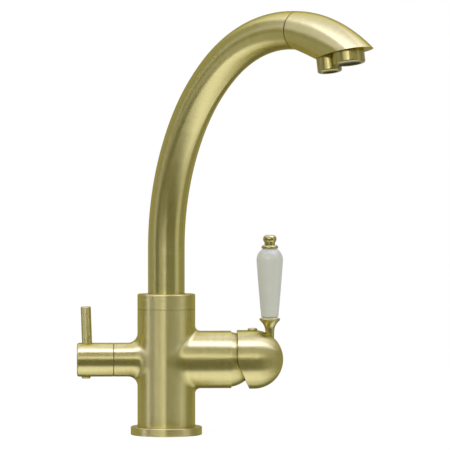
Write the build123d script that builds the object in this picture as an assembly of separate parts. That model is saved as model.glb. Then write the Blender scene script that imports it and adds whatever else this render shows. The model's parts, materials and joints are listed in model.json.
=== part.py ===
from build123d import *

import os
from math import cos, radians, sin, sqrt, tan

# Three way filtered water tap. Millimetres, +Z up, origin at the middle of the flange's underside.
# The mixing lever stands on the +X arm, the filter handle on the -X arm, and -Y is the user's side.

# Clearances
FIT = 0.05  # running fit of a shaft, on the radius
SEAT = 0.1  # between pieces that are pushed or screwed together, on the radius
GAP = 0.4  # between surfaces that pass each other in the open
EDGE = 0.5  # softened edge of a turned piece
THREAD_END = 2.0  # length that a tapped hole is deeper than its screw

# Column
FLANGE_DIAMETER = 56.0
FLANGE_HEIGHT = 6.5
FLANGE_ROUND = 1.0
REGISTER_DIAMETER = 39.0
SEAL_OUTER_DIAMETER = 53.0
SEAL_INNER_DIAMETER = 45.0
SEAL_THICKNESS = 2.0
COLUMN_DIAMETER = 45.4
COLUMN_HEIGHT = 110.5
COLLAR_HEIGHT = 12.0
COLLAR_ROUND = 1.1
BOSS_DIAMETER = 39.0
BOSS_HEIGHT = 3.5
SLIP_RING_THICKNESS = 1.0
SPIGOT_FLANGE_THICKNESS = 3.0
SPIGOT_FLANGE_DIAMETER = 37.0
SPIGOT_DIAMETER = 26.0
SPIGOT_LENGTH = 20.0
SPIGOT_BORE = 19.0
SPOUT_BORE_DEPTH = 22.0
O_RING_SECTION = 1.8
O_RING_GROOVE = O_RING_SECTION + SEAT  # depth of the groove

# Inlets and fixings in the underside
INLET_CIRCLE_RADIUS = 7.5
FILTERED_INLET_OFFSET = 8.5
INLET_BORE = 9.0
INLET_DEPTH = 12.0
WATERWAY_DIAMETER = 5.0
WATERWAY_WALL = 1.5
FILTERED_WATERWAY_DIAMETER = 4.0
FILTERED_WAY_OFFSET = 7.5
STUD_SPACING = 25.0
STUD_OFFSET = 7.0
STUD_BORE = 5.0
STUD_DEPTH = 14.0

# Arms
ARM_HEIGHT = 58.8
MIXER_ARM_DIAMETER = 45.2
MIXER_ARM_REACH = 50.8
MIXER_ARM_FILLET = 4.0
MIXER_BORE_DEPTH = 32.8
FILTER_ARM_DIAMETER = 26.6
FILTER_ARM_REACH = 41.0
FILTER_ARM_FILLET = 7.5
FILTER_BORE_FLOOR = 11.5

# Mixing cartridge; a reach is measured out along the arm from the pivot of the lever
CARTRIDGE_DIAMETER = 35.6
CARTRIDGE_WALL = 1.2
CARTRIDGE_BASE_THICKNESS = 4.0
DISC_THICKNESS = 4.0
FIXED_DISC_DIAMETER = 32.0
MOVING_DISC_DIAMETER = 21.6
PORT_HEIGHT = 6.5
PORT_DIAMETER = 5.0
PORT_SEAL_DIAMETER = 8.0
PORT_SEAL_THICKNESS = 1.2
CARRIER_THICKNESS = 5.5
CARRIER_FLOOR = 1.0
GUIDE_FLANGE_THICKNESS = 3.4
SHOULDER_THICKNESS = 2.3
NECK_DIAMETER = 26.0
NECK_BORE = 22.0
NECK_RISE = 1.2  # of the cartridge's neck past the arm's end
NUT_THREAD_DIAMETER = 40.0
NUT_THICKNESS = 4.5
NUT_SLOT_WIDTH = 4.0
PIVOT_DEPTH = 2.8  # of the pivot inside the arm's end
PIVOT_PIN_DIAMETER = 4.0
LIFT_RANGE = 22.0
LOWER_LEVER = 14.0
SPINDLE_WIDTH = 6.8
SPINDLE_EYE_DIAMETER = 8.4
SPINDLE_STEM_DIAMETER = 4.6
SPINDLE_BALL_DIAMETER = 5.8
SPINDLE_REACH = 27.0

# Ball-shaped cover and lever cap
COVER_RADIUS = 21.7
COVER_WALL = 2.2
COVER_OPENING_ANGLE = 44.5  # half angle of the opening, seen from the pivot
CAP_CLEARANCE = 0.7
CAP_RADIUS = 23.1
CAP_RIM_REACH = 7.6
CAP_DOME_REACH = 20.8
CAP_CUT_ANGLE = 24.4
CAP_CUT_DROP = 1.9
HUB_DIAMETER = 13.8
HUB_REACH = 15.0
SET_SCREW_REACH = 19.7
SET_SCREW_DIAMETER = 5.0
SET_SCREW_LENGTH = 9.0
PLUG_DIAMETER = 8.0
PLUG_SEAT_DEPTH = 3.6
PLUG_RISE = 1.6

# Lever
LEVER_REACH = 33.3
LEVER_SEAT = 14.5
LEVER_NECK_DIAMETER = 7.0
LEVER_FLARE_START = 21.5
LEVER_FLARE_DIAMETER = 15.9
LEVER_FLARE_END = 30.6
LEVER_RIM_HEIGHT = 1.9
LEVER_THREAD_DIAMETER = 5.0
LEVER_THREAD_LENGTH = 7.0
GRIP_WASHER_THICKNESS = 0.6
GRIP_WASHER_DIAMETER = 11.2
GRIP_LENGTH = 53.4
GRIP_LOWER_DIAMETER = 13.6
GRIP_WAIST_DIAMETER = 17.4
GRIP_WIDEST_DIAMETER = 20.8
GRIP_WIDEST_AT = 44.2
GRIP_TOP_DIAMETER = 12.6
STUD_ROD_DIAMETER = 4.0
STUD_ROD_ENGAGEMENT = 6.0
FINIAL_COLLAR_DIAMETER = 13.2
FINIAL_COLLAR_HEIGHT = 2.7
FINIAL_NECK_DIAMETER = 8.4
FINIAL_NECK_HEIGHT = 1.5
FINIAL_KNOB_DIAMETER = 10.7
FINIAL_KNOB_HEIGHT = 6.6
FINIAL_KNOB_ROUND = 3.2

# Filter valve and handle; a rise is measured out from the end of the arm
VALVE_THREAD_DIAMETER = 18.0
VALVE_SEAL_THICKNESS = 1.2
VALVE_CHAMBER_DIAMETER = 14.6
VALVE_DISC_DIAMETER = 14.2
VALVE_DISC_THICKNESS = 2.5
VALVE_DISC_RIM = 1.6
VALVE_DISC_WEB = 2.8
VALVE_OPENING_ANGLE = 80.0
VALVE_GROOVE_WIDTH = 4.4
VALVE_GROOVE_DEPTH = 0.9
VALVE_WINDOW_DIAMETER = 3.4
VALVE_HEX_SIZE = 18.5
VALVE_HEX_THICKNESS = 3.5
VALVE_STEM_DIAMETER = 13.0
VALVE_STEM_RISE = 11.0
SPINDLE_DIAMETER = 8.0
SPINDLE_DRIVER_DIAMETER = 13.2
SPINDLE_DRIVER_THICKNESS = 1.6
FILTER_SPINDLE_RISE = 23.5
KNOB_RISE = 29.1
KNOB_ROUND = 1.6
KNOB_CAVITY_DIAMETER = 22.6
KNOB_CAVITY_RISE = 13.0
PIN_RISE = 20.8
PIN_DIAMETER = 8.0
PIN_HEIGHT = 28.5
PIN_LEAN = 2.0
PIN_SEAT_DEPTH = 2.6
PIN_THREAD_DIAMETER = 4.0
PIN_THREAD_LENGTH = 4.5
BUTTON_SEAT_RISE = 22.0
BUTTON_DIAMETER = 7.6
BUTTON_SEAT_DEPTH = 2.2
BUTTON_RISE = 1.5
KNOB_SCREW_DIAMETER = 4.0
KNOB_SCREW_LENGTH = 6.0

# Swan-neck spout
SPOUT_ANGLE = 50.0
TUBE_DIAMETER = 28.8
TUBE_WALL = 2.0
STRAIGHT_RUN = 36.5  # of the tube above the collar
LOWER_BEND_RADIUS = 190.0
LOWER_BEND_TURN = 30.0
MIDDLE_BEND_RADIUS = 154.0
MIDDLE_BEND_TURN = 22.0
UPPER_BEND_RADIUS = 120.5
JOINT_DIP_ANGLE = 3.5  # turn of the bend past level, at the joint with the nozzle
TUBE_END_RUN = 4.0
FILTERED_TUBE_DIAMETER = 6.0
FILTERED_TUBE_WALL = 1.0
FERRULE_DIAMETER = 10.0
FERRULE_LENGTH = 9.0
FERRULE_BORE_DEPTH = 7.0
JOINT_RING_LENGTH = 11.0
JOINT_RING_WALL = 1.8

# Outlet nozzle, in the joint's frame: X on along the tube, Z to the crest
OUTLET_TILT = 12.5
OUTLET_DROP = 26.9
OUTLET_HEEL = 25.2
OUTLET_LENGTH = 52.0
OUTLET_WIDTH = 28.6
CHIN_SLOPE = 17.5
NOZZLE_SECTIONS = 5
NOZZLE_OVERRUN = 2.0  # of the loft beyond the tip, before the outlet is cut
MAINS_AERATOR_AT = 56.4
MAINS_AERATOR_DIAMETER = 23.6
FILTERED_AERATOR_AT = 35.2
FILTERED_AERATOR_DIAMETER = 18.2
MAINS_AERATOR_RISE = 8.8
FILTERED_AERATOR_RISE = 11.0
AERATOR_THREAD_LENGTH = 7.5
AERATOR_SHOULDER = 1.0
AERATOR_WALL = 1.5
AERATOR_LIP = 0.9
AERATOR_RECESS = 1.4
AERATOR_WASHER_THICKNESS = 1.2
AERATOR_GRID_THICKNESS = 1.6
AERATOR_HOLE_DIAMETER = 2.0
AERATOR_HOLE_PITCH = 3.0
MAINS_CHANNEL_DIAMETER = 7.0
MAINS_CHANNEL_RISE = 8.8
FILTERED_CHANNEL_DIAMETER = 4.0

# Frames of the two arms: local Z runs out along the arm, local X points up
MIXER = Plane(origin=(0, 0, ARM_HEIGHT), x_dir=(0, 0, 1), z_dir=(1, 0, 0))
FILTER = Plane(origin=(0, 0, ARM_HEIGHT), x_dir=(0, 0, 1), z_dir=(-1, 0, 0))

# Sizes that follow from those above
COLLAR_START = COLUMN_HEIGHT - COLLAR_HEIGHT
LOWER_SLIP_RING_START = COLLAR_START + BOSS_HEIGHT
SPIGOT_FLANGE_START = LOWER_SLIP_RING_START + SLIP_RING_THICKNESS
TUBE_START = SPIGOT_FLANGE_START + SPIGOT_FLANGE_THICKNESS
COLLAR_SHOULDER = TUBE_START + SLIP_RING_THICKNESS
SPIGOT_BOTTOM = SPIGOT_FLANGE_START - SPIGOT_LENGTH
SPOUT_BORE_FLOOR = SPIGOT_FLANGE_START - SPOUT_BORE_DEPTH
BEND_START = COLUMN_HEIGHT + STRAIGHT_RUN

MIXER_BORE_FLOOR = MIXER_ARM_REACH - MIXER_BORE_DEPTH
FIXED_DISC_START = MIXER_BORE_FLOOR + CARTRIDGE_BASE_THICKNESS
MOVING_DISC_START = FIXED_DISC_START + DISC_THICKNESS
CARRIER_START = MOVING_DISC_START + DISC_THICKNESS
GUIDE_START = CARRIER_START + CARRIER_THICKNESS + GAP
SHOULDER_START = GUIDE_START + GUIDE_FLANGE_THICKNESS + GAP
NUT_START = SHOULDER_START + SHOULDER_THICKNESS
COVER_SKIRT_START = NUT_START + NUT_THICKNESS + GAP
NECK_END = MIXER_ARM_REACH + NECK_RISE
PIVOT_STATION = MIXER_ARM_REACH - PIVOT_DEPTH
SPINDLE_END = PIVOT_STATION + SPINDLE_REACH
CAP_START = PIVOT_STATION + CAP_RIM_REACH
CAP_DOME_STATION = PIVOT_STATION + CAP_DOME_REACH
HUB_START = PIVOT_STATION + HUB_REACH
SET_SCREW_STATION = PIVOT_STATION + SET_SCREW_REACH
LEVER_STATION = PIVOT_STATION + LEVER_REACH
INLET_Y = INLET_CIRCLE_RADIUS * sin(radians(60))
INLET_X = INLET_CIRCLE_RADIUS * cos(radians(60))
PORT_DROP = PORT_HEIGHT / 2

VALVE_START = FILTER_BORE_FLOOR + VALVE_SEAL_THICKNESS
VALVE_MOVING_START = VALVE_START + VALVE_DISC_THICKNESS
VALVE_DRIVER_START = VALVE_MOVING_START + VALVE_DISC_THICKNESS
VALVE_CHAMBER_END = VALVE_DRIVER_START + SPINDLE_DRIVER_THICKNESS + SEAT
VALVE_STEM_END = FILTER_ARM_REACH + VALVE_STEM_RISE
FILTER_SPINDLE_END = FILTER_ARM_REACH + FILTER_SPINDLE_RISE
KNOB_END = FILTER_ARM_REACH + KNOB_RISE
KNOB_CAVITY_END = FILTER_ARM_REACH + KNOB_CAVITY_RISE
PIN_STATION = FILTER_ARM_REACH + PIN_RISE
BUTTON_STATION = FILTER_ARM_REACH + BUTTON_SEAT_RISE

CAP_CAVITY_RADIUS = COVER_RADIUS + CAP_CLEARANCE
GRIP_START = LEVER_FLARE_END + LEVER_RIM_HEIGHT + GRIP_WASHER_THICKNESS
FINIAL_START = GRIP_START + GRIP_LENGTH + GRIP_WASHER_THICKNESS


def turned(points, rounds=()):
    """Solid turned about Z from (radius, height) corners; rounds lists (corner, radius)."""
    profile = make_face(Polyline(*points, close=True))
    for corner, radius in rounds:
        vertex = profile.vertices().sort_by_distance((*points[corner], 0))[0]
        profile = fillet(vertex, radius)
    return revolve(Plane.XZ * profile, Axis.Z)


def turned_outline(edges):
    """Solid turned about Z from a closed outline of lines and arcs."""
    return revolve(Plane.XZ * make_face(edges), Axis.Z)


def disc(diameter, start, end):
    """Plain cylinder on Z between two heights."""
    return Pos(0, 0, start) * extrude(Circle(diameter / 2), end - start)


def ring(outer, inner, start, end):
    """Plain ring on Z between two heights."""
    return Pos(0, 0, start) * extrude(Circle(outer / 2) - Circle(inner / 2), end - start)


def o_ring_groove(shaft, middle):
    """Groove for an O-ring in a shaft of the given diameter."""
    start = middle - O_RING_SECTION / 2
    return ring(shaft, shaft - 2 * O_RING_GROOVE, start, start + O_RING_SECTION)


def o_ring(shaft, middle):
    """O-ring in the groove of a shaft of the given diameter."""
    inner = shaft - 2 * O_RING_GROOVE
    return Pos(0, 0, middle) * Torus((inner + O_RING_SECTION) / 2, O_RING_SECTION / 2)


def drilled(start, end, diameter):
    """Cylinder of a drilled waterway from one point to another."""
    way = Vector(*end) - Vector(*start)
    return Plane(origin=start, z_dir=way) * extrude(Circle(diameter / 2), way.length)


# Column and arms


def body_casting():
    """Column with both arms, their bores, the waterways and the threaded inlets."""
    column = disc(COLUMN_DIAMETER, FLANGE_HEIGHT, COLLAR_START)
    mixer_arm = MIXER * disc(MIXER_ARM_DIAMETER, 0, MIXER_ARM_REACH)
    filter_arm = FILTER * disc(FILTER_ARM_DIAMETER, 0, FILTER_ARM_REACH)
    with_mixer = column + mixer_arm
    with_mixer = fillet(new_edges(column, mixer_arm, combined=with_mixer), MIXER_ARM_FILLET)
    outside = with_mixer + filter_arm
    outside = fillet(new_edges(with_mixer, filter_arm, combined=outside), FILTER_ARM_FILLET)
    register = disc(REGISTER_DIAMETER, 0, FLANGE_HEIGHT)
    boss = disc(BOSS_DIAMETER, COLLAR_START, LOWER_SLIP_RING_START)
    casting = outside + register + boss

    spout_bore = disc(SPIGOT_DIAMETER, SPOUT_BORE_FLOOR, LOWER_SLIP_RING_START)
    mixer_bore = MIXER * turned(
        [
            (0, MIXER_BORE_FLOOR),
            (CARTRIDGE_DIAMETER / 2 + SEAT, MIXER_BORE_FLOOR),
            (CARTRIDGE_DIAMETER / 2 + SEAT, NUT_START),
            (NUT_THREAD_DIAMETER / 2, NUT_START),
            (NUT_THREAD_DIAMETER / 2, MIXER_ARM_REACH),
            (0, MIXER_ARM_REACH),
        ]
    )
    filter_bore = FILTER * disc(VALVE_THREAD_DIAMETER, FILTER_BORE_FLOOR, FILTER_ARM_REACH)
    casting = casting - spout_bore - mixer_bore - filter_bore
    for way in waterways():
        casting -= way
    for hole in underside_holes():
        casting -= hole
    return casting


def underside_holes():
    """Three tapped inlets round the axis and two tapped stud holes."""
    inlet = disc(INLET_BORE, 0, INLET_DEPTH)
    stud = disc(STUD_BORE, 0, STUD_DEPTH)
    inlets = [Pos(x, y) * inlet for x, y in inlet_places()]
    studs = [Pos(-STUD_OFFSET, side * STUD_SPACING / 2) * stud for side in (-1, 1)]
    return inlets + studs


def inlet_places():
    """Cold, hot and filtered inlets."""
    return [(INLET_X, INLET_Y), (INLET_X, -INLET_Y), (-FILTERED_INLET_OFFSET, 0)]


def waterways():
    """Drilled ways from the inlets to the two valves, and from these to the spout."""
    port_z = ARM_HEIGHT - PORT_DROP
    outlet_z = ARM_HEIGHT + PORT_HEIGHT
    bore = WATERWAY_DIAMETER
    ways = []
    for side in (-1, 1):
        foot = (INLET_X, side * INLET_Y, INLET_DEPTH)
        knee = (INLET_X, side * INLET_Y, port_z)
        ways.append(drilled(foot, knee, bore))
        ways.append(drilled(knee, (MIXER_BORE_FLOOR, side * INLET_Y, port_z), bore))
    mixed_x = FERRULE_DIAMETER / 2 + WATERWAY_WALL + bore / 2
    ways.append(drilled((MIXER_BORE_FLOOR, 0, outlet_z), (mixed_x, 0, outlet_z), bore))
    ways.append(drilled((mixed_x, 0, outlet_z), (mixed_x, 0, SPOUT_BORE_FLOOR), bore))

    filtered_x = -FILTERED_WAY_OFFSET
    ways.append(drilled((filtered_x, 0, INLET_DEPTH), (filtered_x, 0, ARM_HEIGHT), bore))
    ways.append(drilled((filtered_x, 0, ARM_HEIGHT), (-FILTER_BORE_FLOOR, 0, ARM_HEIGHT), bore))
    riser_x = -(VALVE_MOVING_START + VALVE_GROOVE_WIDTH / 2)
    ferrule_floor = SPOUT_BORE_FLOOR - FERRULE_BORE_DEPTH
    cross_z = ferrule_floor - bore / 2
    corners = [(riser_x, 0, ARM_HEIGHT), (riser_x, 0, cross_z), (0, 0, cross_z), (0, 0, ferrule_floor)]
    for start, end in zip(corners, corners[1:]):
        ways.append(drilled(start, end, FILTERED_WATERWAY_DIAMETER))
    ways.append(disc(FERRULE_DIAMETER + 2 * FIT, ferrule_floor, SPOUT_BORE_FLOOR))
    return ways


def base_flange():
    """Turned flange round the column's register, with the seal's groove underneath."""
    outer = FLANGE_DIAMETER / 2
    body = turned(
        [
            (REGISTER_DIAMETER / 2 + SEAT, 0),
            (outer, 0),
            (outer, FLANGE_HEIGHT),
            (REGISTER_DIAMETER / 2 + SEAT, FLANGE_HEIGHT),
        ],
        rounds=[(1, EDGE), (2, FLANGE_ROUND)],
    )
    return body - ring(SEAL_OUTER_DIAMETER, SEAL_INNER_DIAMETER, 0, SEAL_THICKNESS)


def base_seal():
    return ring(SEAL_OUTER_DIAMETER, SEAL_INNER_DIAMETER, 0, SEAL_THICKNESS)


def spout_collar():
    """Ring that screws on the column's boss and holds the spout down."""
    outer = COLUMN_DIAMETER / 2
    boss = BOSS_DIAMETER / 2 + SEAT
    tube = TUBE_DIAMETER / 2 + GAP
    return turned(
        [
            (boss, COLLAR_START),
            (outer, COLLAR_START),
            (outer, COLUMN_HEIGHT),
            (tube, COLUMN_HEIGHT),
            (tube, COLLAR_SHOULDER),
            (boss, COLLAR_SHOULDER),
        ],
        rounds=[(1, EDGE / 2), (2, COLLAR_ROUND), (3, EDGE / 2)],
    )


def slip_ring_lower():
    inner = SPIGOT_DIAMETER + 2 * SEAT
    return ring(BOSS_DIAMETER, inner, LOWER_SLIP_RING_START, SPIGOT_FLANGE_START)


def slip_ring_upper():
    return ring(BOSS_DIAMETER, TUBE_DIAMETER + 2 * GAP, TUBE_START, COLLAR_SHOULDER)


# Mixing cartridge


def port_places():
    """Hot and cold ports and the mixed outlet, in the arm's frame."""
    return [(-PORT_DROP, INLET_Y), (-PORT_DROP, -INLET_Y), (PORT_HEIGHT, 0)]


def cartridge_base():
    body = disc(CARTRIDGE_DIAMETER, MIXER_BORE_FLOOR, FIXED_DISC_START)
    seal_end = MIXER_BORE_FLOOR + PORT_SEAL_THICKNESS
    for x, y in port_places():
        body -= Pos(x, y) * disc(PORT_DIAMETER, MIXER_BORE_FLOOR, FIXED_DISC_START)
        body -= Pos(x, y) * disc(PORT_SEAL_DIAMETER, MIXER_BORE_FLOOR, seal_end)
    return MIXER * body


def port_seal(x, y):
    seal_end = MIXER_BORE_FLOOR + PORT_SEAL_THICKNESS
    seal = ring(PORT_SEAL_DIAMETER, PORT_DIAMETER, MIXER_BORE_FLOOR, seal_end)
    return MIXER * Pos(x, y) * seal


def cartridge_housing():
    """Housing round the discs, with the neck that the lever guide turns in."""
    outer = CARTRIDGE_DIAMETER / 2
    inner = outer - CARTRIDGE_WALL
    neck_outer = NECK_DIAMETER / 2
    neck_inner = NECK_BORE / 2
    return MIXER * turned(
        [
            (inner, FIXED_DISC_START),
            (outer, FIXED_DISC_START),
            (outer, NUT_START),
            (neck_outer, NUT_START),
            (neck_outer, NECK_END),
            (neck_inner, NECK_END),
            (neck_inner, SHOULDER_START),
            (inner, SHOULDER_START),
        ],
        rounds=[(4, EDGE)],
    )


def fixed_disc():
    body = disc(FIXED_DISC_DIAMETER, FIXED_DISC_START, MOVING_DISC_START)
    for x, y in port_places():
        body -= Pos(x, y) * disc(PORT_DIAMETER, FIXED_DISC_START, MOVING_DISC_START)
    return MIXER * body


def moving_disc():
    """Ceramic disc with the mixing pocket in its sliding face."""
    body = disc(MOVING_DISC_DIAMETER, MOVING_DISC_START, CARRIER_START)
    pocket = extrude(SlotOverall(2 * PORT_HEIGHT, PORT_DIAMETER, rotation=90), DISC_THICKNESS / 2)
    body -= Pos(PORT_DROP / 2, 0, MOVING_DISC_START) * pocket
    return MIXER * body


def disc_carrier():
    """Plastic carrier that moves the ceramic disc, with a socket for the spindle's ball."""
    body = disc(MOVING_DISC_DIAMETER, CARRIER_START, CARRIER_START + CARRIER_THICKNESS)
    socket_floor = CARRIER_START + CARRIER_FLOOR
    socket = disc(SPINDLE_BALL_DIAMETER + GAP, socket_floor, CARRIER_START + CARRIER_THICKNESS)
    return MIXER * (body - socket)


def cartridge_nut():
    """Slotted ring nut that clamps the cartridge."""
    inner = NECK_DIAMETER + 2 * SEAT
    body = ring(NUT_THREAD_DIAMETER - 2 * SEAT, inner, NUT_START, NUT_START + NUT_THICKNESS)
    slot = Box(NUT_THREAD_DIAMETER, NUT_SLOT_WIDTH, NUT_THICKNESS)
    top = NUT_START + NUT_THICKNESS
    return MIXER * (body - Pos(0, 0, top) * slot - Pos(0, 0, top) * Rot(0, 0, 90) * slot)


def lever_guide():
    """Rotor in the cartridge's neck, slotted for the spindle and bored for the pivot pin."""
    flange_radius = CARTRIDGE_DIAMETER / 2 - CARTRIDGE_WALL - GAP
    body = disc(2 * flange_radius, GUIDE_START, GUIDE_START + GUIDE_FLANGE_THICKNESS)
    body += disc(NECK_BORE - 2 * FIT, GUIDE_START, NECK_END)
    swing = tan(radians(LIFT_RANGE))
    half = SPINDLE_EYE_DIAMETER / 2 + GAP
    below = (PIVOT_STATION - GUIDE_START) * swing
    above = (NECK_END - PIVOT_STATION) * swing
    slot = Plane.XZ * make_face(
        Polyline(
            (-half, GUIDE_START),
            (half + below, GUIDE_START),
            (half + GAP, PIVOT_STATION),
            (half, NECK_END),
            (-half - above, NECK_END),
            (-half - GAP, PIVOT_STATION),
            close=True,
        )
    )
    body -= extrude(slot, SPINDLE_WIDTH / 2 + FIT, both=True)
    return MIXER * (body - across_pivot(PIVOT_PIN_DIAMETER, NECK_BORE))


def across_pivot(diameter, length):
    """Cylinder on the pivot's axis, in the arm's frame."""
    return Pos(0, 0, PIVOT_STATION) * Rot(90, 0, 0) * Cylinder(diameter / 2, length)


def pivot_pin():
    return MIXER * across_pivot(PIVOT_PIN_DIAMETER, NECK_BORE - 4 * GAP)


def lever_spindle():
    """Flat bar on the pivot: square end in the lever cap, ball in the disc carrier."""
    ball_station = PIVOT_STATION - LOWER_LEVER
    bar = extrude(Rectangle(SPINDLE_WIDTH, SPINDLE_WIDTH), SPINDLE_END - PIVOT_STATION)
    body = Pos(0, 0, PIVOT_STATION) * bar + across_pivot(SPINDLE_EYE_DIAMETER, SPINDLE_WIDTH)
    body += disc(SPINDLE_STEM_DIAMETER, ball_station, PIVOT_STATION)
    body += Pos(0, 0, ball_station) * Sphere(SPINDLE_BALL_DIAMETER / 2)
    return MIXER * (body - across_pivot(PIVOT_PIN_DIAMETER + 2 * FIT, SPINDLE_WIDTH))


def cartridge_cover():
    """Ball-shaped ring screwed into the arm, which the lever cap swings over."""
    inner = COVER_RADIUS - COVER_WALL
    ball = Sphere(COVER_RADIUS) - Sphere(inner)
    base = MIXER_ARM_REACH - PIVOT_STATION
    zone = ball & (Pos(0, 0, base) * extrude(Circle(COVER_RADIUS), COVER_RADIUS - base))
    mouth = COVER_RADIUS * tan(radians(COVER_OPENING_ANGLE))
    zone -= Cone(0, mouth, COVER_RADIUS, align=(Align.CENTER, Align.CENTER, Align.MIN))
    thread = NUT_THREAD_DIAMETER - 2 * SEAT
    skirt = ring(thread, 2 * (inner - COVER_WALL), COVER_SKIRT_START, MIXER_ARM_REACH)
    step = ring(thread, 2 * (inner - COVER_WALL), MIXER_ARM_REACH, MIXER_ARM_REACH + EDGE)
    return MIXER * (Pos(0, 0, PIVOT_STATION) * zone + skirt + step)


# Mixing lever


def mixer_cap():
    """Domed lever cap: ball-shaped cavity, slanted mouth, hub for the spindle."""
    straight = disc(2 * CAP_RADIUS, CAP_START, CAP_DOME_STATION)
    dome = Pos(0, 0, CAP_DOME_STATION) * Sphere(CAP_RADIUS)
    far_half = Pos(0, 0, CAP_DOME_STATION) * extrude(Circle(CAP_RADIUS), CAP_RADIUS)
    cap = straight + (dome & far_half)
    cap -= Pos(0, 0, PIVOT_STATION) * Sphere(CAP_CAVITY_RADIUS)
    cap += disc(HUB_DIAMETER, HUB_START, PIVOT_STATION + CAP_CAVITY_RADIUS)
    drop = 2 * CAP_RADIUS
    slant = drop * tan(radians(CAP_CUT_ANGLE))
    cut = Plane.XZ * make_face(
        Polyline(
            (-CAP_CUT_DROP, CAP_START),
            (-CAP_CUT_DROP - drop, CAP_START),
            (-CAP_CUT_DROP - drop, CAP_START + slant),
            close=True,
        )
    )
    keep_hub = disc(HUB_DIAMETER, HUB_START, CAP_DOME_STATION)
    cap -= extrude(cut, CAP_RADIUS, both=True) - keep_hub
    socket = SPINDLE_WIDTH + 2 * SEAT
    cap -= Pos(0, 0, HUB_START) * extrude(Rectangle(socket, socket), SPINDLE_END + SEAT - HUB_START)
    screw_hole = disc(SET_SCREW_DIAMETER, 0, CAP_RADIUS) + disc(PLUG_DIAMETER, plug_seat(), CAP_RADIUS)
    cap -= Pos(0, 0, SET_SCREW_STATION) * Rot(0, 90, 0) * screw_hole
    thread_floor = LEVER_SEAT - LEVER_THREAD_LENGTH - THREAD_END
    neck_seat = disc(LEVER_NECK_DIAMETER + 2 * SEAT, LEVER_SEAT, CAP_RADIUS)
    neck_seat += disc(LEVER_THREAD_DIAMETER, thread_floor, LEVER_SEAT)
    return MIXER * (cap - Pos(0, 0, LEVER_STATION) * Rot(0, 90, 0) * neck_seat)


def plug_seat():
    """Height of the plug's seat over the arm's axis."""
    return CAP_RADIUS - PLUG_SEAT_DEPTH


def on_cap(piece, station):
    """Stands a piece turned about Z on the lever cap, at a station along the arm."""
    return MIXER * Pos(0, 0, station) * Rot(0, 90, 0) * piece


def cap_set_screw():
    start = SPINDLE_WIDTH / 2
    screw = disc(SET_SCREW_DIAMETER - 2 * SEAT, start, start + SET_SCREW_LENGTH)
    return on_cap(screw, SET_SCREW_STATION)


def cap_plug():
    top = CAP_RADIUS + PLUG_RISE
    radius = PLUG_DIAMETER / 2 - SEAT
    corners = [(0, plug_seat()), (radius, plug_seat()), (radius, top), (0, top)]
    plug = turned(corners, rounds=[(2, PLUG_RISE - SEAT)])
    return on_cap(plug, SET_SCREW_STATION)


def lever_neck():
    """Trumpet-shaped neck under the grip, screwed into the cap."""
    radius = LEVER_NECK_DIAMETER / 2
    rim = LEVER_FLARE_DIAMETER / 2
    rim_top = LEVER_FLARE_END + LEVER_RIM_HEIGHT
    thread = LEVER_THREAD_DIAMETER / 2 - SEAT
    outline = (
        Polyline(
            (0, LEVER_SEAT - LEVER_THREAD_LENGTH),
            (thread, LEVER_SEAT - LEVER_THREAD_LENGTH),
            (thread, LEVER_SEAT),
            (radius, LEVER_SEAT),
            (radius, LEVER_FLARE_START),
        )
        + TangentArc((radius, LEVER_FLARE_START), (rim, LEVER_FLARE_END), tangent=(0, 1))
        + ThreePointArc(
            (rim, LEVER_FLARE_END),
            (rim + EDGE / 2, LEVER_FLARE_END + LEVER_RIM_HEIGHT / 2),
            (rim - EDGE, rim_top),
        )
        + Polyline((rim - EDGE, rim_top), (0, rim_top), (0, LEVER_SEAT - LEVER_THREAD_LENGTH))
    )
    neck = turned_outline(outline)
    tapped = disc(STUD_ROD_DIAMETER, rim_top - STUD_ROD_ENGAGEMENT, rim_top)
    return on_cap(neck - tapped, LEVER_STATION)


def lever_stud():
    """Threaded rod through the grip, from the neck to the finial."""
    start = LEVER_FLARE_END + LEVER_RIM_HEIGHT - STUD_ROD_ENGAGEMENT
    rod = disc(STUD_ROD_DIAMETER - 2 * SEAT, start, FINIAL_START + STUD_ROD_ENGAGEMENT)
    return on_cap(rod, LEVER_STATION)


def grip_washer(start):
    end = start + GRIP_WASHER_THICKNESS
    return on_cap(ring(GRIP_WASHER_DIAMETER, STUD_ROD_DIAMETER + GAP, start, end), LEVER_STATION)


def grip_washer_places():
    return [GRIP_START - GRIP_WASHER_THICKNESS, GRIP_START + GRIP_LENGTH]


def porcelain_grip():
    """Slender grip that widens towards a rounded shoulder."""
    lower = GRIP_LOWER_DIAMETER / 2
    waist = GRIP_WAIST_DIAMETER / 2
    widest = GRIP_WIDEST_DIAMETER / 2
    top = GRIP_TOP_DIAMETER / 2
    widest_z = GRIP_START + GRIP_WIDEST_AT
    end = GRIP_START + GRIP_LENGTH
    bore = STUD_ROD_DIAMETER / 2 + SEAT
    foot = Polyline((bore, GRIP_START), (lower - EDGE, GRIP_START), (lower, GRIP_START + EDGE))
    side = ThreePointArc(
        (lower, GRIP_START + EDGE), (waist, GRIP_START + GRIP_WIDEST_AT / 2), (widest, widest_z)
    )
    shoulder = TangentArc(side @ 1, (top, end), tangent=side % 1)
    head = Polyline((top, end), (bore, end), (bore, GRIP_START))
    return on_cap(turned_outline(foot + side + shoulder + head), LEVER_STATION)


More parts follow.
